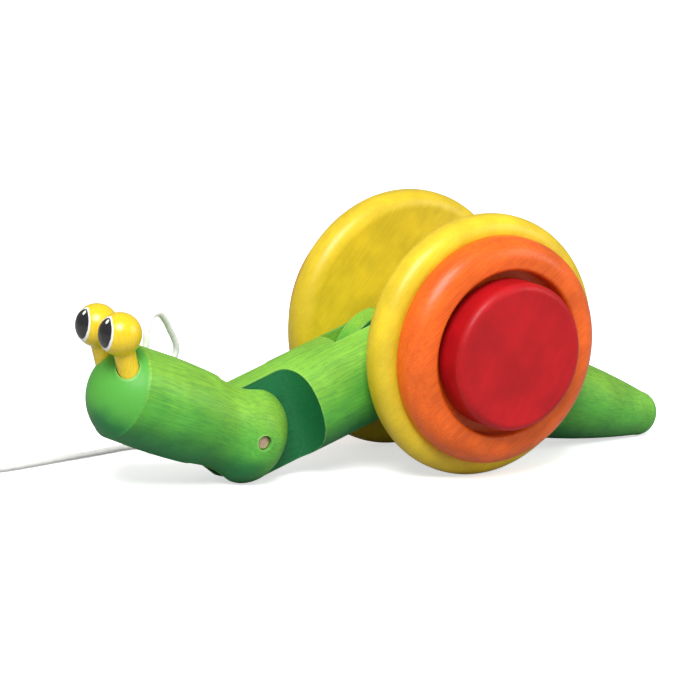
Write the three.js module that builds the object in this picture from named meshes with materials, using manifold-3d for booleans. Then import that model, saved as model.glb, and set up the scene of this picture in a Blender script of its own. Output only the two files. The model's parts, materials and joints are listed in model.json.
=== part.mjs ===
// A wooden pull along snail. Three turned blocks, the head, the body and the tail, are hinged in a
// row. The shell is a stack of coloured discs on both sides, whose axle is far off their centre and
// is also the hinge between body and tail, so the snail crawls up and down as it is pulled.
//
// Millimetres. +Z is up, the head points to -X, and the toy stands on Z = 0 with its origin in the
// middle of its length and width.
import * as THREE from 'three';
import { mergeVertices } from 'three/addons/utils/BufferGeometryUtils.js';
import Module from 'manifold-3d';

const wasm = await Module();
wasm.setup();

// ---- driving dimensions ----
const WHEEL_D = 105;             // the big yellow disc, which rolls on the floor
const WHEEL_T = 14.4;
const WHEEL_INNER_Y = 20.9;      // inner face of each big disc, from the middle of the toy
const RING_D = 91;               // orange ring on the big disc
const RING_T = 11.6;
const RING_ROUND = 8.6;          // its outer edge is a wide quarter round
const RING_BORE_D = 66;          // its wide recess, which holds the hub disc
const RING_LIP = 1.6;            // bevel where the ring's face meets the recess
const RING_FLOOR_T = 4;          // thickness left behind the recess
const HUB_D = 59;                // red disc in the recess
const HUB_PROUD = 8.6;           // how far it stands out of the ring
const HUB_ROUND = 3.2;           // radius of its edges
const AXLE_OFFSET = 28.4;        // from the discs' centre to the axle
const AXLE_OFFSET_ANGLE = 201.5; // degrees from +X towards +Z, as the toy stands
const AXLE_D = 8;
const PIN_D = 5.6;
const PIN_RECESS = 1.6;          // the neck pin ends this far inside the cheeks

const BODY_D = 40;
const KNUCKLE_D = 39.4;          // the forked end of the head
const KNUCKLE_END = 16.8;        // from a knuckle's hinge to its rounded end
const NECK_X = -67.92;           // the neck hinge as the toy stands
const NECK_TO_AXLE = 70.8;
const HEAD_PITCH = 21.5;         // degrees that the head rises towards the nose
const TAIL_PITCH = 14.3;         // degrees that the tail falls towards its tip

const TONGUE_T = 10;             // the tongues milled at the front of the body and the tail
const NECK_TONGUE_REACH = 16;    // from the neck hinge to the body tongue's rounded end
const NECK_TONGUE_HEIGHT = 38.6;
const TAIL_TONGUE_R = 21.6;      // the tail tongue's end is round about the axle
const FORK_GAP = 11;             // slots in the head and in the rear of the body
const NECK_FORK_DEPTH = 20.4;    // from the hinge to the slot's floor
const REAR_FORK_DEPTH = 22.6;
const SHOULDER = 27.4;           // from a hinge to the shoulder of the scoops beside its tongue
const SCOOP_LENGTH = 8;          // the scoops are quarter ellipses, seen from above
const SCOOP_WIDTH = 13;

const BARREL_D = 38.2;           // widest part of the head
const NECK_D = 34.8;             // waist between the barrel and the knuckle
const BARREL_END = 58;           // from the neck hinge to the line where the nose starts
const BARREL_END_D = 37.6;
const NOSE_R = 20.4;
const NOSE_CENTRE = 49.5;

const EYE_D = 16.8;
const EYE_STALK_D = 8.4;
const EYE_Y = 8.65;              // each eye, from the middle of the toy
const EYE_S = 56.9;              // where the stalks' axes would cross the head's axis
const EYE_REACH = 26;            // from there to the ball's centre
const EYE_ANGLE = 51.5;          // degrees between the stalks and the head's axis
const EYE_SOCKET_FLOOR = 4;      // bottom of the drilled sockets, from the head's axis

const TAIL_STRAIGHT = 48;        // from the axle to where the tail starts to taper
const TAIL_LENGTH = 141.6;       // from the axle to the tip
const TIP_LENGTH = 7.5;          // length of the tail's rounded tip
const TAIL_ARC_R = 352;          // long arc of the taper

const CORD_D = 2.6;
const CORD_HOLE_D = 3.8;
const CORD_HOLE_S = 50;          // from the neck hinge to the cord's hole through the head
const CORD_HOLE_Y = 7;           // from the middle, towards the snail's right
const KNOT_BORE_D = 9.6;         // counterbore under the chin, which hides the cord's knot
const KNOT_BORE_TOP = -8;        // its end, from the head's axis
const KNOT_D = 7.4;              // stopper knots at both ends of the cord
const COIL_MID_D = 27.6;         // the spare cord, wound flat on the floor: two turns beside two
const COIL_TURNS_ACROSS = 2;
const COIL_LAYERS = 2;
const COIL_CENTRE = [-126, 38];  // X from the neck hinge, and Y
const FLOOR_GAP = 0.12;          // the head and the cord stay this far above Z = 0
const GAP = 0.3;                 // clearance between pieces that touch

// ---- places in the side view ----
const rad = THREE.MathUtils.degToRad;
// The slot takes the lowest strip off the knuckle, so its cheeks reach down this far.
const cheekDrop = Math.sqrt((KNUCKLE_D / 2) ** 2 - (FORK_GAP / 2) ** 2);
const neck = new THREE.Vector3(NECK_X, 0, cheekDrop + FLOOR_GAP);
const axleHeight = WHEEL_D / 2 + AXLE_OFFSET * Math.sin(rad(AXLE_OFFSET_ANGLE));
const bodyPitch = Math.asin((axleHeight - neck.z) / NECK_TO_AXLE);
const axle = new THREE.Vector3(NECK_X + NECK_TO_AXLE * Math.cos(bodyPitch), 0, axleHeight);
const wheelX = axle.x - AXLE_OFFSET * Math.cos(rad(AXLE_OFFSET_ANGLE));
const wheelCentre = new THREE.Vector3(wheelX, 0, WHEEL_D / 2);

// ---- shape helpers ----
const toSolid = (geometry) => {
  const g = geometry.clone();
  g.deleteAttribute('normal');
  g.deleteAttribute('uv');
  const merged = mergeVertices(g, 1e-4);
  return new wasm.Manifold(new wasm.Mesh({
    numProp: 3,
    vertProperties: new Float32Array(merged.attributes.position.array),
    triVerts: new Uint32Array(merged.index.array),
  }));
};

const toGeometry = (solid) => {
  const mesh = solid.getMesh();
  const g = new THREE.BufferGeometry();
  g.setAttribute('position', new THREE.BufferAttribute(new Float32Array(mesh.vertProperties), 3));
  g.setIndex(new THREE.BufferAttribute(new Uint32Array(mesh.triVerts), 1));
  g.computeVertexNormals();
  return g;
};

// A solid of revolution about local +X. The profile is a list of [x, radius].
const turned = (profile, segments) => {
  const points = profile.map(([x, r]) => new THREE.Vector2(Math.max(r, 0), x));
  return new THREE.LatheGeometry(points, segments).rotateZ(-Math.PI / 2);
};

// A solid of revolution about +Y. The profile is a list of [y, radius].
const disc = (profile, segments) => {
  const points = profile.map(([y, r]) => new THREE.Vector2(Math.max(r, 0), y));
  return new THREE.LatheGeometry(points, segments);
};

// A round bar along Y through (x, z).
const crossBar = (diameter, length, x, z, segments = 32) =>
  new THREE.CylinderGeometry(diameter / 2, diameter / 2, length, segments).translate(x, 0, z);

// Points of an arc about [x, r], from one angle to another, as profile points.
const arc = (x, r, radius, from, to, steps) => Array.from({ length: steps + 1 }, (_, i) => {
  const a = rad(from + ((to - from) * i) / steps);
  return [x + radius * Math.cos(a), r + radius * Math.sin(a)];
});

const addMesh = (parent, name, geometry, color, roughness = 0.45) => {
  const mesh = new THREE.Mesh(geometry, new THREE.MeshStandardMaterial({ color, roughness, metalness: 0 }));
  mesh.name = name;
  parent.add(mesh);
  return mesh;
};

// A knuckle's outline from its end to its widest place, as a superellipse about the hinge.
const knuckle = (steps, diameter) => Array.from({ length: steps + 1 }, (_, i) => {
  const t = rad((90 * i) / steps);
  const power = 2 / 2.4;
  return [-KNUCKLE_END * Math.cos(t) ** power, (diameter / 2) * Math.sin(t) ** power];
});

// The slot of a fork: open at the knuckle's end, with its floor a depth beyond the hinge.
const forkSlot = (depth) => new THREE.BoxGeometry(depth + 30, FORK_GAP, 60)
  .translate((depth - 30) / 2, 0, 0);

// What the cutters leave of a block: a tongue round its hinge, between two scoops that clear the
// cheeks of the fork that it sits in, and beyond them the whole block. The tongue's end is given.
const milled = (end) => {
  const foot = TONGUE_T / 2;
  const outline = new THREE.Shape(end);
  outline.lineTo(SHOULDER, -BODY_D);
  outline.lineTo(SHOULDER, BODY_D);
  const tongue = new THREE.ExtrudeGeometry(outline, { depth: TONGUE_T, bevelEnabled: false })
    .rotateX(Math.PI / 2).translate(0, foot, 0);
  const scoop = Array.from({ length: 9 }, (_, i) => {
    const t = rad((90 * i) / 8);
    return [SHOULDER - SCOOP_LENGTH * (1 - Math.sin(t)), foot + SCOOP_WIDTH * (1 - Math.cos(t))];
  });
  const half = [...scoop, [SHOULDER, BODY_D], [200, BODY_D]];
  const mirrored = half.map(([x, y]) => [x, -y]).reverse();
  const plan = [...half, ...mirrored].map(([x, y]) => new THREE.Vector2(x, y));
  const block = new THREE.ExtrudeGeometry(new THREE.Shape(plan), { depth: 60, bevelEnabled: false })
    .translate(0, 0, -30);
  return toSolid(tongue).add(toSolid(block));
};

// Points of a tongue's end from its top round to its bottom, on an ellipse about the hinge.
const tongueEnd = (reach, half, from, steps) => Array.from({ length: steps + 1 }, (_, i) => {
  const t = rad(from + ((360 - 2 * from) * i) / steps);
  return new THREE.Vector2(reach * Math.cos(t), half * Math.sin(t));
});

// ---- head: local +X runs from the neck hinge to the nose ----
const headProfile = () => {
  const barrel = new THREE.SplineCurve([
    new THREE.Vector2(0, KNUCKLE_D / 2),
    new THREE.Vector2(11, NECK_D / 2),
    new THREE.Vector2(24, BARREL_D / 2 - 0.6),
    new THREE.Vector2(40, BARREL_D / 2),
    new THREE.Vector2(BARREL_END, BARREL_END_D / 2),
  ]).getPoints(11).slice(1).map((p) => [p.x, p.y]);
  const edge = BARREL_END + 0.6;
  const from = Math.acos((edge - NOSE_CENTRE) / NOSE_R) * THREE.MathUtils.RAD2DEG;
  return [...knuckle(6, KNUCKLE_D), ...barrel, ...arc(NOSE_CENTRE, 0, NOSE_R, from, 0, 7)];
};

// Places a piece made along +Y so that its axis is an eye's, with its zero at the head's axis.
const eyeFrame = (geometry, side) => geometry
  .rotateX(Math.PI / 2)
  .rotateY(rad(90 - EYE_ANGLE))
  .translate(EYE_S, side * EYE_Y, 0);

const headHole = (diameter, from, to, segments) => new THREE
  .CylinderGeometry(diameter / 2, diameter / 2, to - from, segments)
  .rotateX(Math.PI / 2)
  .translate(CORD_HOLE_S, -CORD_HOLE_Y, (from + to) / 2);

const makeHeadBlock = () => {
  let solid = toSolid(turned(headProfile(), 40))
    .subtract(toSolid(forkSlot(NECK_FORK_DEPTH)))
    .subtract(toSolid(crossBar(PIN_D + GAP, 60, 0, 0)))
    .subtract(toSolid(headHole(CORD_HOLE_D, -30, 30, 16)))
    .subtract(toSolid(headHole(KNOT_BORE_D, -30, KNOT_BORE_TOP, 24)));
  for (const side of [-1, 1]) {
    const socket = new THREE.CylinderGeometry(EYE_STALK_D / 2 + GAP, EYE_STALK_D / 2 + GAP, 30, 24);
    solid = solid.subtract(toSolid(eyeFrame(socket.translate(0, EYE_SOCKET_FLOOR + 15, 0), side)));
  }
  return toGeometry(solid);
};

const makeEye = (side) => {
  const r = EYE_D / 2;
  const stalk = EYE_STALK_D / 2;
  const below = Math.asin((stalk + 0.5) / r) * THREE.MathUtils.RAD2DEG;
  const ball = arc(EYE_REACH, 0, r, 180 - below, 0, 9)
    .map(([y, x]) => new THREE.Vector2(Math.max(x, 0), y));
  const foot = EYE_SOCKET_FLOOR + GAP;
  const profile = [new THREE.Vector2(0, foot), new THREE.Vector2(stalk, foot),
    new THREE.Vector2(stalk, EYE_REACH - r - GAP), ...ball];
  return eyeFrame(new THREE.LatheGeometry(profile, 20), side);
};

// ---- body: local +X runs from the neck hinge to the axle ----
const makeBodyBlock = () => {
  const rear = knuckle(6, BODY_D).map(([x, r]) => [NECK_TO_AXLE - x, r]).reverse();
  const blank = turned([[-NECK_TONGUE_REACH - 1, 0], [-NECK_TONGUE_REACH - 1, BODY_D / 2], ...rear], 48);
  const end = tongueEnd(NECK_TONGUE_REACH, NECK_TONGUE_HEIGHT / 2, 90, 20);
  const slot = forkSlot(REAR_FORK_DEPTH).rotateZ(Math.PI).translate(NECK_TO_AXLE, 0, 0);
  return toGeometry(toSolid(blank)
    .intersect(milled(end))
    .subtract(toSolid(slot))
    .subtract(toSolid(crossBar(PIN_D + GAP, 60, 0, 0)))
    .subtract(toSolid(crossBar(AXLE_D + GAP, 60, NECK_TO_AXLE, 0))));
};

// ---- tail: local +X runs from the axle to the tip ----
const makeTailBlock = () => {
  const taper = (s) => BODY_D / 2 - (TAIL_ARC_R - Math.sqrt(TAIL_ARC_R ** 2 - (s - TAIL_STRAIGHT) ** 2));
  const tipStart = TAIL_LENGTH - TIP_LENGTH;
  const long = Array.from({ length: 7 }, (_, i) => {
    const s = TAIL_STRAIGHT + ((tipStart - TAIL_STRAIGHT) * i) / 6;
    return [s, taper(s)];
  });
  const tip = taper(tipStart);
  const rounded = Array.from({ length: 5 }, (_, i) => {
    const t = rad((90 * (i + 1)) / 5);
    return [tipStart + TIP_LENGTH * Math.sin(t), tip * Math.cos(t) ** 0.8];
  });
  const profile = [[-TAIL_TONGUE_R - 1, 0], [-TAIL_TONGUE_R - 1, BODY_D / 2], ...long, ...rounded];
  const floor = toSolid(new THREE.BoxGeometry(400, 100, 40)
    .translate(0, 0, -20)
    .translate(-axle.x, 0, -axle.z)
    .rotateY(-rad(TAIL_PITCH)));
  return toGeometry(toSolid(turned(profile, 40))
    .intersect(milled(tongueEnd(TAIL_TONGUE_R, TAIL_TONGUE_R, 66, 20)))
    .subtract(toSolid(crossBar(AXLE_D + GAP, 60, 0, 0)))
    .subtract(floor));
};

// ---- shell: discs about the wheels' centre, made for the +Y side ----
const roundedDisc = (inner, outer, radius, round) => {
  const rim = arc(0, 0, round, -90, 90, 6).map(([r, y]) => [
    y < 0 ? inner + round + y : outer - round + y, radius - round + r]);
  return [[inner, 0], ...rim, [outer, 0]];
};

// Turns a piece made for the +Y side over, to the side it belongs on.
const onSide = (geometry, side) => (side < 0 ? geometry.rotateX(Math.PI) : geometry);

const makeWheel = (side) => {
  const outer = WHEEL_INNER_Y + WHEEL_T;
  const blank = disc(roundedDisc(WHEEL_INNER_Y, outer, WHEEL_D / 2, WHEEL_T / 2 - 0.6), 48);
  return toGeometry(toSolid(onSide(blank, side))
    .subtract(toSolid(crossBar(AXLE_D + GAP, 120, axle.x - wheelCentre.x, axle.z - wheelCentre.z))));
};

const makeRing = (side) => {
  const inner = WHEEL_INNER_Y + WHEEL_T + GAP;
  const outer = inner + RING_T;
  const lip = RING_BORE_D / 2;
  const round = Array.from({ length: 6 }, (_, i) => {
    const a = rad((90 * i) / 5);
    return [outer - RING_ROUND * (1 - Math.sin(a)), RING_D / 2 - RING_ROUND * (1 - Math.cos(a))];
  });
  const recessFloor = inner + RING_FLOOR_T;
  const back = [[inner, 0], [inner, RING_D / 2 - 1], [inner + 1, RING_D / 2]];
  const recess = [[outer, lip + RING_LIP], [outer - RING_LIP, lip], [recessFloor, lip], [recessFloor, 0]];
  return onSide(disc([...back, ...round, ...recess], 44), side);
};

const makeHubDisc = (side) => {
  const inner = WHEEL_INNER_Y + WHEEL_T + RING_FLOOR_T + 2 * GAP;
  const outer = WHEEL_INNER_Y + WHEEL_T + RING_T + GAP + HUB_PROUD;
  const rim = roundedDisc(inner, outer, HUB_D / 2, HUB_ROUND);
  return onSide(disc(rim, 36), side);
};

// ---- cord ----
// Where the cord lies between its hole in the head and the coil. X is from the neck hinge, Y from
// the middle of the toy and Z from the floor.
const CORD_ROUTE = [
  [-39.2, 7.3, 60.6], [-35.4, 10, 66], [-29.2, 13.8, 65.4], [-22.6, 17.2, 58], [-18.4, 18.9, 50],
  [-21.5, 19.3, 42.5], [-27.5, 20.2, 35], [-33, 22, 27], [-35, 26.5, 19.5], [-33, 34, 13],
  [-25, 41, 9], [-15, 45.6, 5.6], [-8, 50, 3], [-7.6, 55.4, 1.7], [-14.6, 57.6, 1.4],
  [-24, 56, 1.4], [-33.6, 54, 1.4], [-48.8, 51.3, 1.4], [-78.7, 46, 1.4], [-98, 48.4, 1.4],
];
const atNeck = ([x, y, z]) => new THREE.Vector3(NECK_X + x, y, z);

// A place on the cord's hole, at a height above the head's axis.
const inHole = (height) => {
  const pitch = rad(HEAD_PITCH);
  return neck.clone().add(new THREE.Vector3(
    -CORD_HOLE_S * Math.cos(pitch) + height * Math.sin(pitch), CORD_HOLE_Y,
    CORD_HOLE_S * Math.sin(pitch) + height * Math.cos(pitch)));
};
const knotHeight = KNOT_BORE_TOP - GAP - KNOT_D / 2;
const coilBand = COIL_TURNS_ACROSS * CORD_D * 1.04;
const coilHeight = COIL_LAYERS * CORD_D * 1.04;
const coilCentre = atNeck([...COIL_CENTRE, 0]);
const coilOuter = COIL_MID_D / 2 + coilBand / 2;

// The cord's two ends at the coil: it comes in on the coil's +Y side and leaves on its -Y side.
const besideCoil = coilOuter + CORD_D / 2 + GAP;
const onFloor = CORD_D / 2 + FLOOR_GAP;
const coilEntry = new THREE.Vector3(coilCentre.x + 6, coilCentre.y + besideCoil, onFloor);
const tailStart = new THREE.Vector3(coilCentre.x + 4, coilCentre.y - besideCoil, onFloor);
const tailEnd = tailStart.clone().add(new THREE.Vector3(8, -1.5, 0));

const tube = (points, steps) => {
  const section = new THREE.Shape();
  section.absarc(0, 0, CORD_D / 2, 0, 2 * Math.PI, false);
  const curve = new THREE.CatmullRomCurve3(points, false, 'centripetal');
  const options = { extrudePath: curve, steps, curveSegments: 4, bevelEnabled: false };
  return new THREE.ExtrudeGeometry(section, options);
};

const makeCordLead = () => tube([inHole(knotHeight + KNOT_D / 2 + GAP), inHole(4), inHole(18.5),
  ...CORD_ROUTE.map(atNeck), coilEntry], 64);

const makeCoil = () => {
  const inner = COIL_MID_D / 2 - coilBand / 2;
  const corners = [[inner, FLOOR_GAP], [coilOuter, FLOOR_GAP], [coilOuter, coilHeight], [inner, coilHeight]];
  const profile = [...corners, corners[0]].map(([r, z]) => new THREE.Vector2(r, z));
  return new THREE.LatheGeometry(profile, 32)
    .rotateX(Math.PI / 2)
    .translate(coilCentre.x, coilCentre.y, 0);
};

const makeKnot = (place) => new THREE.SphereGeometry(KNOT_D / 2, 14, 8).translate(place.x, place.y, place.z);

// ---- assembly ----
const GREEN = 0x6bbd45;
const YELLOW = 0xf0d12d;
const snail = new THREE.Group();

const head = new THREE.Group();
head.position.copy(neck);
head.rotation.set(0, rad(HEAD_PITCH), Math.PI);
snail.add(head);
addMesh(head, 'head_block', makeHeadBlock(), GREEN);
addMesh(head, 'eye_left', makeEye(1), YELLOW, 0.3);
addMesh(head, 'eye_right', makeEye(-1), YELLOW, 0.3);
const pinLength = KNUCKLE_D - 2 * PIN_RECESS;
addMesh(head, 'neck_pin', crossBar(PIN_D, pinLength, 0, 0, 24), 0xbb9c7a, 0.8);

const body = new THREE.Group();
body.position.copy(neck);
body.rotation.y = -bodyPitch;
snail.add(body);
addMesh(body, 'body_block', makeBodyBlock(), GREEN);

const tail = new THREE.Group();
tail.position.copy(axle);
tail.rotation.y = rad(TAIL_PITCH);
snail.add(tail);
addMesh(tail, 'tail_block', makeTailBlock(), GREEN);

const shell = new THREE.Group();
shell.position.copy(wheelCentre);
snail.add(shell);
const axleLength = 2 * (WHEEL_INNER_Y + WHEEL_T - GAP);
const axleBar = crossBar(AXLE_D, axleLength, axle.x - wheelCentre.x, axle.z - wheelCentre.z, 24);
addMesh(shell, 'axle', axleBar, 0xc9a77e, 0.8);
for (const [name, side] of [['left', -1], ['right', 1]]) {
  addMesh(shell, `wheel_${name}`, makeWheel(side), YELLOW, 0.3);
  addMesh(shell, `ring_${name}`, makeRing(side), 0xf59034, 0.3);
  addMesh(shell, `hub_disc_${name}`, makeHubDisc(side), 0xb11f24, 0.3);
}

const endKnotPlace = tailEnd.clone().add(new THREE.Vector3(KNOT_D / 2 + GAP, 0, (KNOT_D - CORD_D) / 2));
for (const [name, geometry] of [
  ['cord_knot', makeKnot(inHole(knotHeight))],
  ['cord_lead', makeCordLead()],
  ['cord_coil', makeCoil()],
  ['cord_tail', tube([tailStart, tailEnd], 4)],
  ['cord_end_knot', makeKnot(endKnotPlace)],
]) {
  addMesh(snail, name, geometry, 0xf4f4f0, 0.9);
}

export default snail;
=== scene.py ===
"""The looks of a wooden pull along snail, built around its packed model.

Every piece is turned, milled or wound here in metres, in the frame's own place, and rides on the
body that carries it. Run as a script, it makes the stage, the cord and then each wooden piece.
"""

import json
import math

import bmesh
import bpy
from bpy.props import FloatProperty, FloatVectorProperty, IntProperty, PointerProperty
from mathutils import Matrix, Vector


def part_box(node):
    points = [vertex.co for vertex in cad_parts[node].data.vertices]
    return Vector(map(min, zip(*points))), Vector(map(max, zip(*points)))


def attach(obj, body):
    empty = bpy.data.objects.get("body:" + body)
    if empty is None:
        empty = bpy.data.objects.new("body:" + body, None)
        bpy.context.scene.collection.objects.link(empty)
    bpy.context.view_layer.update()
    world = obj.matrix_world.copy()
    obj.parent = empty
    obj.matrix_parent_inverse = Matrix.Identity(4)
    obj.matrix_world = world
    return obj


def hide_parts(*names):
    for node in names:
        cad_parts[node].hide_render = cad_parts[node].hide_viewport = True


bl_info = {
    "name": "Pull Along Snail",
    "version": (1, 0, 0),
    "blender": (4, 5, 0),
    "location": "View3D > Sidebar > Snail",
    "description": "Makes a wooden pull along snail with its finishes, cord and stage",
    "category": "Add Mesh",
}

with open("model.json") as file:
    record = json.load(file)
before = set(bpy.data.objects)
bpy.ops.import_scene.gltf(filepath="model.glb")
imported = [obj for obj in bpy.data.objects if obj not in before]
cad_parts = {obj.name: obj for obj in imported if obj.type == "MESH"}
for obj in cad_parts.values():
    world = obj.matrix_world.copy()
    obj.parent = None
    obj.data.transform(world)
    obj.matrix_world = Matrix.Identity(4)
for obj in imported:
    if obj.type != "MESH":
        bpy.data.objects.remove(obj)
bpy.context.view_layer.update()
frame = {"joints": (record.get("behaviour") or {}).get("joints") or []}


# ---- places taken from the frame ----
def joint_place(name):
    """Where a hinge of the frame is, in metres."""
    return Vector(next(j for j in frame["joints"] if j["name"] == name)["pos_m"])


def middle(node):
    """The middle of a CAD node's box."""
    low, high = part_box(node)
    return (low + high) / 2


NECK = joint_place("neck_hinge")
AXLE = joint_place("axle_spin")
DISC_CENTRE = Vector((middle("wheel_left").x, 0, middle("wheel_left").z))
NECK_TO_AXLE = (AXLE - NECK).length
BODY_PITCH = math.asin((AXLE.z - NECK.z) / NECK_TO_AXLE)


# ---- what a user may change ----
def length(name, description, default):
    """A length in metres, shown in the scene's units."""
    return FloatProperty(name=name, description=description, default=default, min=0.0,
                         subtype="DISTANCE", unit="LENGTH", precision=4)


def place(name, description, default):
    """A signed length in metres."""
    return FloatProperty(name=name, description=description, default=default,
                         subtype="DISTANCE", unit="LENGTH", precision=4)


def angle(name, description, degrees):
    """An angle, kept in radians and given here in degrees."""
    return FloatProperty(name=name, description=description, default=math.radians(degrees),
                         subtype="ANGLE", unit="ROTATION")


def colour(name, description, default):
    """A linear colour."""
    return FloatVectorProperty(name=name, description=description, default=default, size=3,
                               min=0.0, max=1.0, subtype="COLOR")


def share(name, description, default):
    """A number from nothing to all."""
    return FloatProperty(name=name, description=description, default=default, min=0.0, max=1.0,
                         subtype="FACTOR")


class SNAIL_PG_stage(bpy.types.PropertyGroup):
    """The camera, the lights and the floor"""

    azimuth: angle("Camera azimuth", "Turn of the camera about the toy", -34.36)
    elevation: angle("Camera elevation", "Height of the camera as an angle", 12.30)
    roll: angle("Camera roll", "Tilt of the horizon", 2.83)
    distance: length("Camera distance", "From the discs' centre to the camera", 1.5277)
    lens: FloatProperty(name="Lens", description="Focal length", default=195.73, min=10.0,
                        subtype="DISTANCE_CAMERA")
    right: place("Camera right", "Sideways move of the camera", -0.0358)
    up: place("Camera up", "Upward move of the camera", -0.0080)
    floor: colour("Floor", "Colour of the pale floor", (0.92, 0.92, 0.92))
    floor_glow: FloatProperty(name="Floor glow", description="Light of the floor as it is seen",
                              default=0.60, min=0.0)
    sky: FloatProperty(name="Sky", description="Brightness of the surroundings", default=0.44,
                       min=0.0)
    key: FloatProperty(name="Key light", description="Power of the large soft light", default=34.0,
                       min=0.0, unit="POWER")
    fill: FloatProperty(name="Fill light", description="Power of the weak side light", default=6.0,
                        min=0.0, unit="POWER")


class SNAIL_PG_head(bpy.types.PropertyGroup):
    """The turned head block"""

    pitch: angle("Pitch", "Rise of the head towards the nose", 21.5)
    knuckle: length("Knuckle diameter", "Forked end of the head", 0.0394)
    knuckle_end: length("Knuckle end", "From the hinge to the rounded end", 0.0168)
    waist: length("Waist diameter", "Between the knuckle and the barrel", 0.0348)
    barrel: length("Barrel diameter", "Widest part of the head", 0.0382)
    barrel_end: length("Barrel end", "From the hinge to the line where the nose starts", 0.058)
    barrel_end_diameter: length("Barrel end diameter", "At the line", 0.0376)
    nose_radius: length("Nose radius", "Radius of the domed nose", 0.0204)
    nose_centre: length("Nose centre", "From the hinge to the dome's centre", 0.0495)
    slot: length("Slot", "Width of the slot that holds the tongue", 0.011)
    slot_depth: length("Slot depth", "From the hinge to the slot's floor", 0.0204)
    cord_hole: length("Cord hole", "Diameter of the cord's hole", 0.0038)
    cord_hole_place: length("Cord hole place", "From the hinge to the cord's hole", 0.050)
    knot_bore: length("Knot bore", "Diameter of the bore that hides the knot", 0.0096)


class SNAIL_PG_eyes(bpy.types.PropertyGroup):
    """The two turned eyes"""

    ball: length("Ball", "Diameter of an eye's ball", 0.0168)
    stalk: length("Stalk", "Diameter of an eye's stalk", 0.0084)
    apart: length("Half spacing", "Each eye from the middle of the toy", 0.00865)
    root: length("Root", "Where the stalks' axes cross the head's axis", 0.0569)
    reach: length("Reach", "From the head's axis to the ball's centre", 0.026)
    lean: angle("Lean", "Between the stalks and the head's axis", 51.5)
    socket_floor: length("Socket floor", "Bottom of the drilled sockets", 0.004)


class SNAIL_PG_body(bpy.types.PropertyGroup):
    """The middle block, with a tongue in front and a fork behind"""

    diameter: length("Diameter", "Diameter of the block", 0.040)
    tongue: length("Tongue", "Thickness of its tongue and the tail's", 0.010)
    tongue_reach: length("Tongue reach", "From the neck hinge to the tongue's end", 0.016)
    tongue_height: length("Tongue height", "Height of the tongue", 0.0386)
    shoulder: length("Shoulder", "From a hinge to the shoulder beside a tongue", 0.0274)
    scoop_length: length("Scoop length", "Length of the scoops' curve", 0.008)
    scoop_width: length("Scoop width", "Width of the scoops' curve", 0.013)
    rear_fork: length("Rear fork", "From the axle to the floor of its slot", 0.0226)


class SNAIL_PG_tail(bpy.types.PropertyGroup):
    """The tapered tail block"""

    pitch: angle("Pitch", "Fall of the tail towards its tip", 14.3)
    straight: length("Straight", "From the axle to where the taper starts", 0.048)
    reach: length("Length", "From the axle to the tip", 0.1416)
    tongue_radius: length("Tongue radius", "The tongue's end is round about the axle", 0.0216)
    arc: length("Taper radius", "Radius of the long curve", 0.352)
    tip: length("Tip", "Length of the rounded tip", 0.0075)


class SNAIL_PG_shell(bpy.types.PropertyGroup):
    """The stacked discs that make the shell"""

    disc: length("Disc diameter", "The big yellow discs", 0.105)
    disc_thickness: length("Disc thickness", "The big yellow discs", 0.0144)
    disc_inner: length("Disc inner face", "From the middle of the toy", 0.0209)
    ring: length("Ring diameter", "The orange rings", 0.091)
    ring_thickness: length("Ring thickness", "The orange rings", 0.0116)
    ring_round: length("Ring round", "Radius of the ring's wide outer edge", 0.0086)
    ring_bore: length("Ring bore", "Recess that holds the hub disc", 0.066)
    ring_lip: length("Ring lip", "Round edge of the recess", 0.0016)
    ring_floor: length("Ring floor", "Thickness behind the recess", 0.004)
    hub: length("Hub diameter", "The red discs", 0.059)
    hub_round: length("Hub round", "Radius of its edges", 0.0032)
    hub_proud: length("Hub proud", "How far it stands out of the ring", 0.0086)
    axle: length("Axle", "Diameter of the axle", 0.008)
    pin: length("Neck pin", "Diameter of the neck's pin", 0.0056)
    pin_recess: length("Pin recess", "How far the pin's ends are inside the cheeks", 0.0016)
    gap: length("Clearance", "Between pieces that touch", 0.0003)


class SNAIL_PG_cord(bpy.types.PropertyGroup):
    """The braided cord, its coil and its knots"""

    diameter: length("Diameter", "Thickness of the cord", 0.0026)
    knot: length("Knot", "Diameter of its knots", 0.0074)
    coil: length("Coil", "Diameter at the middle of the coil's turns", 0.0276)
    coil_x: place("Coil X", "The coil's place behind the neck hinge", -0.126)
    coil_y: place("Coil Y", "The coil's place beside the toy", 0.038)
    carriers: IntProperty(name="Carriers", description="Strands seen around the braid", default=8,
                          min=3, max=24)


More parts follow.
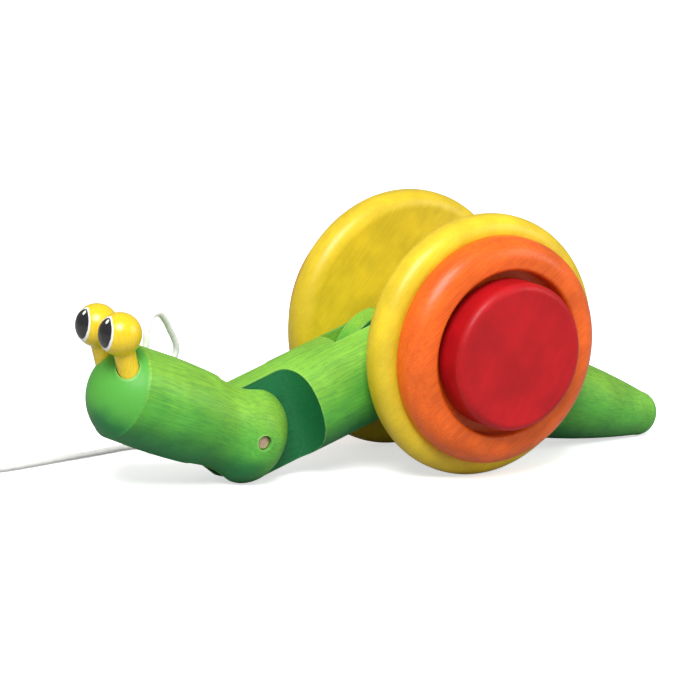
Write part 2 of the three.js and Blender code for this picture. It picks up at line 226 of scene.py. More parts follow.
class SNAIL_PG_finish(bpy.types.PropertyGroup):
    """Stains, lacquers and paints, and the painted light and shade of the green blocks"""

    # The green blocks get yellower towards their top, partly a lighter spray tone and partly painted
    # light, and darker towards their underside as painted shade. The lower green is also the base of
    # the darker grain.
    green_top_tone_and_light: colour("Green, upper", "Spray tone and painted light on the upper side", (0.25, 0.55, 0.05))
    green: colour("Green", "Stain on the sides", (0.115, 0.46, 0.05))
    green_low_shade_and_grain: colour("Green, lower", "Painted shade on the underside, and the base of the darker grain", (0.018, 0.20, 0.05))
    green_nose: colour("Green, nose", "Thicker stain on the nose", (0.11, 0.45, 0.055))
    # Painted shade, partly thicker stain: the dark green of the scoops' hollows and of the slot's
    # deep walls.
    green_scoop_shade_and_stain: colour("Green, scoop", "Thicker stain and painted shade of the cut faces", (0.014, 0.19, 0.06))
    bare_green: colour("Rubbed green", "Where the stain is rubbed off", (0.36, 0.66, 0.20))
    yellow: colour("Yellow", "Stain of the big discs", (0.80, 0.58, 0.026))
    yellow_deep: colour("Deep yellow", "Darker grain of the big discs", (0.62, 0.41, 0.015))
    orange: colour("Orange", "Stain of the rings", (0.86, 0.145, 0.012))
    orange_deep: colour("Deep orange", "Darker grain of the rings", (0.58, 0.055, 0.008))
    red: colour("Red", "Stain of the hub discs", (0.50, 0.006, 0.011))
    red_deep: colour("Deep red", "Darker grain of the hub discs", (0.36, 0.006, 0.008))
    eye_yellow: colour("Eye yellow", "Paint of the eyes", (0.86, 0.61, 0.014))
    bare: colour("Bare wood", "The dowels", (0.58, 0.40, 0.26))
    cord: colour("Cord", "The braided cord", (0.90, 0.90, 0.88))
    rub: share("Rubbing", "How far the edges are rubbed", 0.5)


# ---- mesh helpers ----
SHARP = math.radians(32)
WELD = 2e-6


def block_frame(at, along, up):
    """The matrix of a block whose local X runs along it and whose local Z is its upper side."""
    x, z = Vector(along).normalized(), Vector(up).normalized()
    columns = Matrix((x, z.cross(x), z)).transposed().to_4x4()
    return Matrix.Translation(at) @ columns


def mesh_object(name, points, faces):
    """A new object in the scene from plain points and faces, with its faces turned outwards."""
    mesh = bpy.data.meshes.new(name)
    mesh.from_pydata([tuple(p) for p in points], [], faces)
    work = bmesh.new()
    work.from_mesh(mesh)
    bmesh.ops.recalc_face_normals(work, faces=work.faces)
    work.to_mesh(mesh)
    work.free()
    piece = bpy.data.objects.new(name, mesh)
    bpy.context.scene.collection.objects.link(piece)
    return piece


def keep_on_points(mesh, name, kind, field, values):
    """Keeps a value for every point of a mesh, for its material."""
    mesh.attributes.new(name, kind, "POINT").data.foreach_set(field, values)


def turned(name, profile, segments, about="X"):
    """A closed solid of revolution. The profile lists (place along the axis, radius)."""
    points, rings = [], []
    for along, radius in profile:
        if radius < 1e-7:
            rings.append([len(points)])
            points.append((along, 0.0, 0.0))
            continue
        rings.append(range(len(points), len(points) + segments))
        for i in range(segments):
            turn = math.tau * i / segments
            points.append((along, radius * math.cos(turn), radius * math.sin(turn)))
    faces = []
    for low, high in zip(rings, rings[1:]):
        for i in range(segments):
            j = (i + 1) % segments
            if len(low) == 1:
                faces.append((low[0], high[i], high[j]))
            elif len(high) == 1:
                faces.append((low[i], high[0], low[j]))
            else:
                faces.append((low[i], high[i], high[j], low[j]))
    if about == "Y":
        points = [(z, x, y) for x, y, z in points]
    elif about == "Z":
        points = [(y, z, x) for x, y, z in points]
    return mesh_object(name, points, faces)


def rod(name, radius, low, high, about, at=(0, 0, 0), segments=64):
    """A plain round cutter or dowel blank."""
    piece = turned(name, [(low, 0), (low, radius), (high, radius), (high, 0)], segments, about)
    piece.data.transform(Matrix.Translation(at))
    return piece


def prism(name, outline, half, across):
    """An outline in two axes, pulled both ways along the third."""
    count = len(outline)
    def at(p, q, depth):
        return (p, depth, q) if across == "Y" else (p, q, depth)
    points = [at(p, q, depth) for depth in (-half, half) for p, q in outline]
    faces = [tuple(range(count)), tuple(range(2 * count - 1, count - 1, -1))]
    faces += [(i, (i + 1) % count, count + (i + 1) % count, count + i) for i in range(count)]
    return mesh_object(name, points, faces)


def slab(name, low, high):
    """A box-shaped cutter between two corners."""
    outline = [(low[0], low[2]), (high[0], low[2]), (high[0], high[2]), (low[0], high[2])]
    piece = prism(name, outline, (high[1] - low[1]) / 2, "Y")
    piece.data.transform(Matrix.Translation((0, (high[1] + low[1]) / 2, 0)))
    return piece


def arc(x, r, radius, start, end, steps):
    """Profile points of an arc about (x, r), between two angles in degrees."""
    turns = [math.radians(start + (end - start) * i / steps) for i in range(steps + 1)]
    return [(x + radius * math.cos(a), r + radius * math.sin(a)) for a in turns]


def smooth_curve(points, steps):
    """A smooth curve through a few points, with even steps between them."""
    line = [Vector(p) for p in points]
    line = [2 * line[0] - line[1], *line, 2 * line[-1] - line[-2]]
    out = []
    for a, b, c, d in zip(line, line[1:], line[2:], line[3:]):
        for i in range(steps):
            t = i / steps
            out.append(0.5 * (2 * b + (c - a) * t + (2 * a - 5 * b + 4 * c - d) * t * t
                              + (3 * b - a - 3 * c + d) * t ** 3))
    return [*out, line[-2]]


def apply_modifiers(piece):
    """Turns a piece's modifiers into its mesh."""
    bpy.context.view_layer.update()
    made = bpy.data.meshes.new_from_object(
        piece.evaluated_get(bpy.context.evaluated_depsgraph_get()))
    piece.modifiers.clear()
    old, piece.data = piece.data, made
    made.name = piece.name
    bpy.data.meshes.remove(old)


def shape_with(piece, tool, operation="DIFFERENCE"):
    """Cuts, joins or trims a piece with another, which is used up."""
    change = piece.modifiers.new(operation.title(), "BOOLEAN")
    change.operation, change.object, change.solver = operation, tool, "EXACT"
    apply_modifiers(piece)
    bpy.data.objects.remove(tool)


def ease_edges(piece, width):
    """Sands a small round on every sharp edge, and shades the rest smooth."""
    clean = bmesh.new()
    clean.from_mesh(piece.data)
    bmesh.ops.remove_doubles(clean, verts=clean.verts, dist=WELD)
    bmesh.ops.dissolve_degenerate(clean, edges=clean.edges, dist=WELD)
    clean.to_mesh(piece.data)
    clean.free()
    if width:
        bevel = piece.modifiers.new("Eased edges", "BEVEL")
        bevel.width, bevel.segments, bevel.limit_method = width, 2, "ANGLE"
        bevel.angle_limit, bevel.use_clamp_overlap = SHARP, True
        bevel.miter_outer = "MITER_ARC"
    weigh = piece.modifiers.new("Even shading", "WEIGHTED_NORMAL")
    weigh.keep_sharp = True
    piece.data.shade_smooth()
    piece.data.set_sharp_from_angle(angle=SHARP)
    apply_modifiers(piece)


def fit(piece, material, body, slot, *nodes, at=None):
    """Puts a finished piece in place, on its body, instead of its CAD nodes.

    Its own coordinates are kept as an attribute, for the grain."""
    mesh = piece.data
    own = [0.0] * (3 * len(mesh.vertices))
    mesh.vertices.foreach_get("co", own)
    keep_on_points(mesh, "own_place", "FLOAT_VECTOR", "vector", own)
    if at is not None:
        mesh.transform(at)
    piece.data.materials.clear()
    piece.data.materials.append(material)
    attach(piece, body)
    if nodes:
        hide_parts(*nodes)
    return piece


# ---- node helpers ----
def add(tree, kind, inputs=None, **settings):
    """Adds a shader node, and links or sets the inputs that are given."""
    made = tree.nodes.new("ShaderNode" + kind)
    for key, value in settings.items():
        setattr(made, key, value)
    for key, value in (inputs or {}).items():
        if isinstance(value, bpy.types.NodeSocket):
            tree.links.new(value, made.inputs[key])
        else:
            made.inputs[key].default_value = value
    return made


def maths(tree, operation, a, b=0.0, clamp=False):
    """The result of one sum."""
    return add(tree, "Math", {0: a, 1: b}, operation=operation, use_clamp=clamp).outputs[0]


def times(tree, a, b, clamp=False):
    """The product of two values."""
    return maths(tree, "MULTIPLY", a, b, clamp=clamp)


def plus(tree, a, b, clamp=False):
    """The sum of two values."""
    return maths(tree, "ADD", a, b, clamp=clamp)


def span(tree, a, b):
    """The long side of a right-angled triangle."""
    return maths(tree, "SQRT", plus(tree, times(tree, a, a), times(tree, b, b)))


def vector_maths(tree, operation, a, b=(0, 0, 0)):
    """The vector result of one sum."""
    return add(tree, "VectorMath", {0: a, 1: b}, operation=operation).outputs["Vector"]


def between(tree, value, low, high, to_low=0.0, to_high=1.0):
    """Eases a value from one pair of limits to another."""
    ends = {"Value": value, "From Min": low, "From Max": high, "To Min": to_low, "To Max": to_high}
    return add(tree, "MapRange", ends, interpolation_type="SMOOTHSTEP").outputs["Result"]


def mix(tree, share_of_b, a, b, blend="MIX"):
    """Mixes two colours."""
    def rgba(value):
        return value if isinstance(value, bpy.types.NodeSocket) else (*tuple(value)[:3], 1.0)
    ends = {0: share_of_b, 6: rgba(a), 7: rgba(b)}
    return add(tree, "Mix", ends, data_type="RGBA", blend_type=blend).outputs[2]


def own_place(tree):
    """A piece's own coordinates, before it was put in place."""
    return add(tree, "Attribute", attribute_name="own_place").outputs["Vector"]


def noise(tree, vector, scale, detail=2.0, roughness=0.5, output="Fac"):
    """A plain noise value."""
    ends = {"Vector": vector, "Scale": scale, "Detail": detail, "Roughness": roughness}
    return add(tree, "TexNoise", ends).outputs[output]


def parts(tree, vector):
    """A vector's three numbers."""
    return add(tree, "SeparateXYZ", {0: vector}).outputs


def group(name, inputs, outputs):
    """An empty node group with named sockets. Returns it and its input and output nodes."""
    made = bpy.data.node_groups.new(name, "ShaderNodeTree")
    for label, kind, default in inputs:
        socket = made.interface.new_socket(label, in_out="INPUT", socket_type="NodeSocket" + kind)
        if default is not None:
            socket.default_value = default
    for label, kind in outputs:
        made.interface.new_socket(label, in_out="OUTPUT", socket_type="NodeSocket" + kind)
    return made, made.nodes.new("NodeGroupInput").outputs, made.nodes.new("NodeGroupOutput").inputs


def use(tree, name, inputs):
    """Places a node group in a tree, with its own values."""
    made = tree.nodes.new("ShaderNodeGroup")
    made.node_tree = bpy.data.node_groups[name]
    for key, value in inputs.items():
        if isinstance(value, bpy.types.NodeSocket):
            tree.links.new(value, made.inputs[key])
        else:
            made.inputs[key].default_value = (*value, 1.0) if (
                made.inputs[key].type == "RGBA" and len(value) == 3) else value
    return made.outputs


def make_wood_grain():
    """Grain along local X: long streaks, growth rings, short pores and the height they leave."""
    tree, given, out = group("Wood grain", [
        ("Vector", "Vector", None), ("Streak length", "Float", 0.02),
        ("Streak width", "Float", 0.0007), ("Ring width", "Float", 0.0022),
    ], [("Streaks", "Float"), ("Rings", "Float"), ("Pores", "Float"), ("Height", "Float")])
    bend = noise(tree, given["Vector"], 26, 2, 0.5, "Color")
    bend = vector_maths(tree, "MULTIPLY", vector_maths(tree, "SUBTRACT", bend, (0.5, 0.5, 0.5)),
                        (0.0, 0.0035, 0.0035))
    wavy = vector_maths(tree, "ADD", given["Vector"], bend)
    width = maths(tree, "DIVIDE", 1.0, given["Streak width"])
    scale = add(tree, "CombineXYZ", {
        0: maths(tree, "DIVIDE", 1.0, given["Streak length"]), 1: width, 2: width}).outputs[0]
    stretched = vector_maths(tree, "MULTIPLY", wavy, scale)
    tree.links.new(noise(tree, stretched, 0.55, 4, 0.62), out["Streaks"])
    x, y, z = parts(tree, wavy)
    y = plus(tree, y, 0.034)
    z = plus(tree, z, 0.021)
    lean = times(tree, x, 0.06)
    y = plus(tree, y, lean)
    reach = span(tree, y, z)
    drift = times(tree, noise(tree, given["Vector"], 40, 2), 0.006)
    turns = maths(tree, "DIVIDE", plus(tree, reach, drift), given["Ring width"])
    saw = maths(tree, "FRACT", turns)
    late = between(tree, saw, 0.35, 0.95)
    early = between(tree, saw, 0.95, 1.0, 1.0, 0.0)
    rings = times(tree, late, early)
    tree.links.new(rings, out["Rings"])
    dashes = vector_maths(tree, "MULTIPLY", stretched, (2.4, 2.1, 2.1))
    pores = between(tree, noise(tree, dashes, 1.0, 2, 0.55), 0.60, 0.72)
    tree.links.new(pores, out["Pores"])
    raised = maths(tree, "SUBTRACT", times(tree, noise(tree, stretched, 0.8, 3), 0.6),
                   times(tree, pores, 0.8))
    tree.links.new(raised, out["Height"])


def make_stain_soak():
    """Two stain colours laid on by the grain: more in the streaks, rings and pores."""
    tree, given, out = group("Stain soak", [
        ("Light", "Color", None), ("Deep", "Color", None), ("Streaks", "Float", 0.5),
        ("Rings", "Float", 0.0), ("Pores", "Float", 0.0), ("Streak depth", "Float", 0.6),
        ("Ring depth", "Float", 0.3), ("Pore depth", "Float", 0.4), ("Vector", "Vector", None),
    ], [("Color", "Color")])
    streak = times(tree, between(tree, given["Streaks"], 0.36, 0.68),
                   given["Streak depth"])
    ring = times(tree, given["Rings"], given["Ring depth"])
    pore = times(tree, given["Pores"], given["Pore depth"])
    soak = plus(tree, plus(tree, streak, ring), pore, clamp=True)
    patch = between(tree, noise(tree, given["Vector"], 55, 3, 0.55), 0.3, 0.72, 0.84, 1.12)
    wash = mix(tree, soak, given["Light"], given["Deep"])
    tree.links.new(mix(tree, 1.0, wash, add(tree, "CombineXYZ", {
        0: patch, 1: patch, 2: patch}).outputs[0], "MULTIPLY"), out["Color"])


def make_rubbed_edges():
    """One on outer edges that hands and floors have rubbed, broken up along their length."""
    tree, given, out = group("Rubbed edges", [
        ("Vector", "Vector", None), ("Reach", "Float", 0.0012), ("Amount", "Float", 0.75),
    ], [("Mask", "Float")])
    inside = add(tree, "AmbientOcclusion", {"Distance": given["Reach"]}, samples=12, inside=True,
                 only_local=True).outputs["AO"]
    edge = between(tree, inside, 0.93, 0.55)
    patchy = between(tree, noise(tree, given["Vector"], 300, 3, 0.6), 0.30, 0.66, 0.2, 1.0)
    rubbed = times(tree, times(tree, edge, patchy), given["Amount"],
                   clamp=True)
    tree.links.new(rubbed, out["Mask"])


def make_handling():
    """Uneven gloss and shallow marks of a lacquered surface that is played with."""
    tree, given, out = group("Handling marks", [
        ("Vector", "Vector", None), ("Smoothest", "Float", 0.25), ("Roughest", "Float", 0.45),
    ], [("Roughness", "Float"), ("Height", "Float")])
    smear = noise(tree, given["Vector"], 90, 4, 0.6)
    fine = noise(tree, given["Vector"], 1400, 2, 0.5)
    blend = plus(tree, times(tree, smear, 0.8), times(tree, fine, 0.2))
    roughness = add(tree, "MapRange", {
        "Value": blend, "From Min": 0.3, "From Max": 0.7, "To Min": given["Smoothest"],
        "To Max": given["Roughest"]}).outputs["Result"]
    tree.links.new(roughness, out["Roughness"])
    dents = between(tree, noise(tree, given["Vector"], 210, 2, 0.4), 0.64, 0.80)
    tree.links.new(times(tree, dents, -1.0), out["Height"])


def surface(name):
    """A new material with its node tree and its Principled shader."""
    made = bpy.data.materials.new(name)
    made.use_nodes = True
    return made, made.node_tree, made.node_tree.nodes["Principled BSDF"]


def connect(tree, shader, **sockets):
    """Links or sets the shader's sockets by name."""
    for key, value in sockets.items():
        socket = shader.inputs[key.replace("_", " ")]
        if isinstance(value, bpy.types.NodeSocket):
            tree.links.new(value, socket)
        else:
            socket.default_value = value


def bump(tree, height, distance, strength=1.0):
    """A bump from a height value."""
    ends = {"Height": height, "Distance": distance, "Strength": strength}
    return add(tree, "Bump", ends).outputs["Normal"]


def grain_vector(tree, shift, turn=0.0):
    """A piece's own coordinates, moved so that no two blocks share their grain."""
    return add(tree, "Mapping", {
        "Vector": own_place(tree), "Location": shift,
        "Rotation": (0.0, turn, 0.0)}).outputs["Vector"]


# Deeper than this from a block's axis, the slot's walls get painted shade; nearer the surface they
# stay light.
SLOT_SHADE_FROM = 0.012


def cut_faces(tree, x, y, z, scoops, slot):
    """One on the faces that a cutter made, which are painted darker: partly thicker stain, partly
    painted shade in the scoops' hollows and deep in the slot.
    """
    from_axis = span(tree, y, z)
    found = 0.0
    if scoops is not None:
        reach, half, shoulder, radius = scoops
        ahead = maths(tree, "DIVIDE", maths(tree, "MINIMUM", x, 0.0), reach)
        out = span(tree, ahead, maths(tree, "DIVIDE", z, half))
        inside = times(tree, between(tree, out, 0.982, 0.976),
                       between(tree, from_axis, radius - 0.0001, radius - 0.0003))
        found = times(tree, inside, between(tree, x, shoulder + 0.0003, shoulder))
    if slot is not None:
        way, start, half = slot
        along = times(tree, x, way)
        behind = between(tree, along, way * start - 0.0003, way * start - 0.0001)
        beside = maths(tree, "ABSOLUTE", y)
        walls = times(tree, behind, between(tree, beside, half + 0.0002, half + 0.0001))
        # Painted shade: only the slot's walls deeper inside the block turn dark.
        deep = between(tree, from_axis, SLOT_SHADE_FROM + 0.002, SLOT_SHADE_FROM)
        found = maths(tree, "MAXIMUM", found, times(tree, walls, deep))
    return found


def green_wood(name, finish, shift, nose_from=None, scoops=None, slot=None):
    """Green stain on a block: yellower above, partly a spray tone and partly painted light; cooler
    and darker below as painted shade; worn pale on its edges.
    """
    made, tree, shader = surface(name)
    vector = grain_vector(tree, shift)
    x, y, z = parts(tree, own_place(tree))
    streaks, rings, pores, height = use(tree, "Wood grain", {
        "Vector": vector, "Streak length": 0.008, "Streak width": 0.00032, "Ring width": 0.0026})
    cloud = times(tree, maths(tree, "SUBTRACT", noise(tree, vector, 70, 3), 0.5), 0.014)
    # Painted light and shade by height: painted shade at the underside, the side green in the
    # middle, and the upper green on top (part spray tone, part painted light).
    level = plus(tree, z, cloud)
    light = mix(tree, between(tree, level, -0.003, 0.014), finish.green, finish.green_top_tone_and_light)
    light = mix(tree, between(tree, level, -0.002, -0.017), light, finish.green_low_shade_and_grain)
    deep = mix(tree, 0.72, light, finish.green_low_shade_and_grain)
    soaked = use(tree, "Stain soak", {
        "Light": light, "Deep": deep, "Streaks": streaks, "Rings": rings, "Pores": pores,
        "Streak depth": 0.52, "Ring depth": 0.07, "Pore depth": 0.55, "Vector": vector})["Color"]
    if nose_from is not None:
        nose = between(tree, x, nose_from, nose_from + 0.0004)
        # Painted shade: the nose turns to the lower green towards its underside.
        dome = mix(tree, between(tree, level, -0.002, -0.016), finish.green_nose, finish.green_low_shade_and_grain)
        dome = mix(tree, times(tree, streaks, 0.25), dome, finish.green_low_shade_and_grain)
        soaked = mix(tree, nose, soaked, dome)
    if scoops or slot:
        # Painted shade, partly thicker stain: the cut faces turn a dark green.
        cut_face_shade_and_stain = mix(tree, between(tree, streaks, 0.35, 0.7), finish.green_scoop_shade_and_stain,
                      tuple(0.7 * c for c in finish.green_scoop_shade_and_stain))
        soaked = mix(tree, cut_faces(tree, x, y, z, scoops, slot), soaked, cut_face_shade_and_stain)
    rubbed = use(tree, "Rubbed edges", {
        "Vector": vector, "Reach": 0.0009, "Amount": finish.rub})["Mask"]
    marks = use(tree, "Handling marks", {"Vector": vector, "Smoothest": 0.42, "Roughest": 0.58})
    relief = plus(tree, height, times(tree, marks["Height"], 0.5))
    connect(tree, shader, Base_Color=mix(tree, rubbed, soaked, finish.bare_green),
            Roughness=marks["Roughness"], Normal=bump(tree, relief, 0.00005),
            Specular_IOR_Level=0.25, Coat_Weight=0.10, Coat_Roughness=0.28)
    return made


def lacquered_wood(name, light, deep, shift, *, turn, bare, gloss, coat, depth, rub):
    """A stained disc under lacquer. Its grain is straight across the face, at a turn in degrees."""
    made, tree, shader = surface(name)
    vector = grain_vector(tree, shift, math.radians(turn))
    streaks, rings, pores, height = use(tree, "Wood grain", {
        "Vector": vector, "Streak length": 0.012, "Streak width": 0.00035, "Ring width": 0.0042})
    soaked = use(tree, "Stain soak", {
        "Light": light, "Deep": deep, "Streaks": streaks, "Rings": rings, "Pores": pores,
        "Streak depth": depth, "Ring depth": depth * 0.25, "Pore depth": depth * 0.6,
        "Vector": vector})["Color"]
    rubbed = use(tree, "Rubbed edges", {"Vector": vector, "Reach": 0.0010, "Amount": rub})["Mask"]
    marks = use(tree, "Handling marks", {
        "Vector": vector, "Smoothest": gloss[0], "Roughest": gloss[1]})
    relief = plus(tree, times(tree, height, 0.6), marks["Height"])
    connect(tree, shader, Base_Color=mix(tree, rubbed, soaked, bare),
            Roughness=marks["Roughness"], Normal=bump(tree, relief, 0.00004),
            Specular_IOR_Level=0.25, Coat_Weight=coat, Coat_Roughness=0.25)
    return made


def oval(tree, across, above, middle_of, half):
    """One inside an oval, given as angles from its middle."""
    a = maths(tree, "DIVIDE", maths(tree, "SUBTRACT", across, math.radians(middle_of[0])),
              math.radians(half[0]))
    b = maths(tree, "DIVIDE", maths(tree, "SUBTRACT", above, math.radians(middle_of[1])),
              math.radians(half[1]))
    return between(tree, span(tree, a, b), 1.03, 0.98)


def eye_paint(name, finish, ball_radius):
    """Yellow gloss paint with a white patch, a black pupil and a small glint, towards local -X."""
    made, tree, shader = surface(name)
    local = own_place(tree)
    x, y, z = parts(tree, local)
    across = maths(tree, "ARCTAN2", y, times(tree, x, -1.0))
    above = maths(tree, "ARCSINE", maths(tree, "DIVIDE", z, ball_radius))
    reach = add(tree, "VectorMath", {0: local}, operation="LENGTH").outputs["Value"]
    on_ball = between(tree, reach, ball_radius * 1.04, ball_radius * 1.02)
    wobble = times(tree, maths(tree, "SUBTRACT", noise(tree, local, 260, 2), 0.5), 0.06)
    across = plus(tree, across, wobble)
    white = times(tree, oval(tree, across, above, (-2, 7), (40, 52)), on_ball)
    pupil = times(tree, oval(tree, across, above, (-3, 9), (33.5, 43)), on_ball)
    glint = times(tree, oval(tree, across, above, (-8, 41), (6, 7)), on_ball)
    fibres = noise(tree, vector_maths(tree, "MULTIPLY", local, (1200, 1200, 90)), 1.0, 3, 0.6)
    tint = mix(tree, between(tree, fibres, 0.35, 0.7), finish.eye_yellow,
               tuple(0.86 * c for c in finish.eye_yellow))
    tint = mix(tree, white, tint, (0.86, 0.86, 0.84))
    tint = mix(tree, pupil, tint, (0.018, 0.018, 0.020))
    tint = mix(tree, glint, tint, (0.90, 0.88, 0.78))
    marks = use(tree, "Handling marks", {"Vector": local, "Smoothest": 0.24, "Roughest": 0.36})
    painted = times(tree, plus(tree, white, pupil), 0.35)
    relief = plus(tree, times(tree, marks["Height"], 0.4),
                   plus(tree, painted, times(tree, fibres, 0.25)))
    connect(tree, shader, Base_Color=tint, Roughness=marks["Roughness"],
            Normal=bump(tree, relief, 0.00005), Coat_Weight=0.35, Coat_Roughness=0.14)
    return made


def bare_wood(name, finish):
    """An unstained dowel: grain along its length, darker rings on its sawn ends."""
    made, tree, shader = surface(name)
    local = own_place(tree)
    x, y, z = parts(tree, local)
    along = add(tree, "CombineXYZ", {0: y, 1: x, 2: z}).outputs[0]
    streaks, rings, pores, height = use(tree, "Wood grain", {
        "Vector": along, "Streak length": 0.012, "Streak width": 0.0004, "Ring width": 0.0009})
    tint = use(tree, "Stain soak", {
        "Light": finish.bare, "Deep": tuple(0.45 * c for c in finish.bare), "Streaks": streaks,
        "Rings": rings, "Pores": pores, "Streak depth": 0.5, "Ring depth": 0.5,
        "Pore depth": 0.4, "Vector": along})["Color"]
    marks = use(tree, "Handling marks", {"Vector": local, "Smoothest": 0.6, "Roughest": 0.8})
    connect(tree, shader, Base_Color=tint, Roughness=marks["Roughness"],
            Normal=bump(tree, height, 0.00005))
    return made


def braided_cord(name, finish):
    """White braid: fine fibres on each strand, and a little grey as painted shade down between its
    strands.
    """
    made, tree, shader = surface(name)
    local = own_place(tree)
    valley_shade = add(tree, "Attribute", attribute_name="valley_shade").outputs["Fac"]
    fibres = noise(tree, local, 9000, 2, 0.6)
    soil = between(tree, noise(tree, local, 120, 3), 0.45, 0.75, 0.0, 0.10)
    # Painted shade: the cord turns grey down between its strands.
    tint = mix(tree, times(tree, valley_shade, 0.55), finish.cord, (0.42, 0.43, 0.44))
    tint = mix(tree, soil, tint, (0.55, 0.53, 0.48))
    connect(tree, shader, Base_Color=tint,
            Roughness=between(tree, fibres, 0.3, 0.7, 0.70, 0.90),
            Normal=bump(tree, fibres, 0.00006, 0.6), Sheen_Weight=0.25, Sheen_Roughness=0.5)
    return made


# ---- stage ----
FLOOR_DROP = 0.0001


def aim(piece, target):
    """Points a light or camera at a place."""
    piece.rotation_euler = (Vector(target) - piece.location).to_track_quat("-Z", "Y").to_euler()


def soft_light(name, energy, size, at, target):
    """A large square light."""
    data = bpy.data.lights.new(name, "AREA")
    data.energy, data.size = energy, size
    lamp = bpy.data.objects.new(name, data)
    lamp.location = at
    aim(lamp, target)
    bpy.context.scene.collection.objects.link(lamp)


def make_stage(settings):
    """The camera, a soft key and fill, pale surroundings and a pale floor."""
    scene = bpy.context.scene
    a, e, r = settings.azimuth, settings.elevation, settings.roll
    back = Vector((math.sin(a) * math.cos(e), -math.cos(a) * math.cos(e), math.sin(e)))
    level = Vector((math.cos(a), math.sin(a), 0))
    above = back.cross(level)
    right = level * math.cos(r) + above * math.sin(r)
    up = above * math.cos(r) - level * math.sin(r)
    data = bpy.data.cameras.new("camera")
    data.lens, data.sensor_width, data.clip_end = settings.lens, 36.0, 50.0
    camera = bpy.data.objects.new("camera", data)
    spot = DISC_CENTRE + back * settings.distance + right * settings.right + up * settings.up
    camera.matrix_world = Matrix.Translation(spot) @ Matrix((right, up, back)).transposed().to_4x4()
    scene.collection.objects.link(camera)
    scene.camera = camera
    scene.view_settings.view_transform = "Standard"

    floor = mesh_object("floor", [(-6, -6, 0), (6, -6, 0), (6, 6, 0), (-6, 6, 0)], [(0, 1, 2, 3)])
    floor.location.z = -FLOOR_DROP
    made, tree, shader = surface("pale floor")
    seen = add(tree, "LightPath").outputs["Is Camera Ray"]
    tint = mix(tree, seen, tuple(0.45 * c for c in settings.floor), settings.floor)
    glow = mix(tree, seen, (0, 0, 0), (1, 1, 1))
    connect(tree, shader, Base_Color=tint, Roughness=0.9, Specular_IOR_Level=0.1,
            Emission_Color=glow, Emission_Strength=settings.floor_glow)
    floor.data.materials.append(made)

    world = bpy.data.worlds.new("studio")
    scene.world = world
    world.use_nodes = True
    tree = world.node_tree
    mirrored = add(tree, "LightPath").outputs["Is Glossy Ray"]
    tint = mix(tree, mirrored, (1.0, 1.0, 1.0), (0.45, 0.45, 0.45))
    tree.links.new(tint, tree.nodes["Background"].inputs["Color"])
    tree.nodes["Background"].inputs["Strength"].default_value = settings.sky
    target = (0, 0, 0.04)
    soft_light("key", settings.key, 0.9, (-0.75, -0.85, 1.35), target)
    soft_light("fill", settings.fill, 0.8, (1.1, -0.9, 0.7), target)


# ---- cord ----
# Where the cord lies between its hole in the head and the coil, in metres. X is from the neck
# hinge, Y from the middle of the toy and Z from the floor.
CORD_ROUTE = [
    (-0.0392, 0.0073, 0.0606), (-0.0354, 0.010, 0.066), (-0.0292, 0.0138, 0.0654),
    (-0.0226, 0.0172, 0.058), (-0.0184, 0.0189, 0.050), (-0.0215, 0.0193, 0.0425),
    (-0.0275, 0.0202, 0.035), (-0.033, 0.022, 0.027), (-0.035, 0.0265, 0.0195),
    (-0.033, 0.034, 0.013), (-0.025, 0.041, 0.009), (-0.015, 0.0456, 0.0056),
    (-0.008, 0.050, 0.003), (-0.0076, 0.0554, 0.0017), (-0.0146, 0.0576, 0.0014),
    (-0.024, 0.056, 0.0014), (-0.0336, 0.054, 0.0014), (-0.0488, 0.0513, 0.0014),
    (-0.0787, 0.046, 0.0014), (-0.098, 0.0484, 0.0014),
]
CORD_HOLE_SIDE = 0.007
KNOT_BORE_TOP = -0.008
FLOOR_GAP = 0.00012


def in_cord_hole(settings, height):
    """A place on the cord's hole, at a height above the head's axis."""
    pitch = settings.pitch
    x, z = settings.cord_hole_place, height
    return NECK + Vector((-x * math.cos(pitch) + z * math.sin(pitch), CORD_HOLE_SIDE,
                          x * math.sin(pitch) + z * math.cos(pitch)))


def coil_line(cord, centre):
    """Four and a half turns, two beside two on two levels, as points from the floor up and out."""
    step = cord.diameter * 1.045
    outer, inner = cord.coil / 2 + step / 2, cord.coil / 2 - step / 2
    edge = cord.coil / 2 + step + cord.diameter / 2 + 0.0003
    low = cord.diameter / 2 + FLOOR_GAP
    line = []
    for degree in range(90, 1711, 6):
        quarter = (degree % 360 - 90) / 90
        crossing = 0 <= quarter < 1
        t = quarter if crossing else 0.0
        swing = math.radians(90 * t)
        inward = outer - step * t
        rise = (inward - step * math.cos(swing), low + step * math.sin(swing))
        if degree < 180:
            radius, height = edge + (outer - edge) * t, low
        elif degree < 540:
            radius, height = (inward, low) if crossing and degree > 400 else (outer, low)
        elif degree < 900:
            radius, height = rise if crossing and degree > 800 else (inner, low)
        elif degree < 1260:
            radius, height = inner, low + step
            if crossing and degree > 1160:
                radius = rise[0] + step * math.sin(swing)
                height = rise[1] + step * math.cos(swing)
        elif degree < 1620:
            radius, height = outer + (step * t if degree > 1520 else 0), low + step
        else:
            s = (degree - 1620) / 90
            ease = s * s * (3 - 2 * s)
            radius, height = outer + step + (edge - outer - step) * s, low + step * (1 - ease)
        turn = math.radians(degree)
        line.append(centre + Vector((radius * math.cos(turn), radius * math.sin(turn), height)))
    return line


def even(line, step):
    """The same line with points at even steps along it."""
    out, left = [line[0]], step
    for a, b in zip(line, line[1:]):
        span, done = (b - a).length, 0.0
        while span - done >= left:
            done += left
            out.append(a.lerp(b, done / span))
            left = step
        left -= span - done
    if (line[-1] - out[-1]).length > step / 2:
        out.append(line[-1])
    return out


def woven(name, points, faces, depths):
    """A piece of cord, which keeps how deep each of its points lies between the strands, for the
    painted shade there.
    """
    piece = mesh_object(name, points, faces)
    keep_on_points(piece.data, "valley_shade", "FLOAT", "value", depths)
    piece.data.shade_smooth()
    return piece


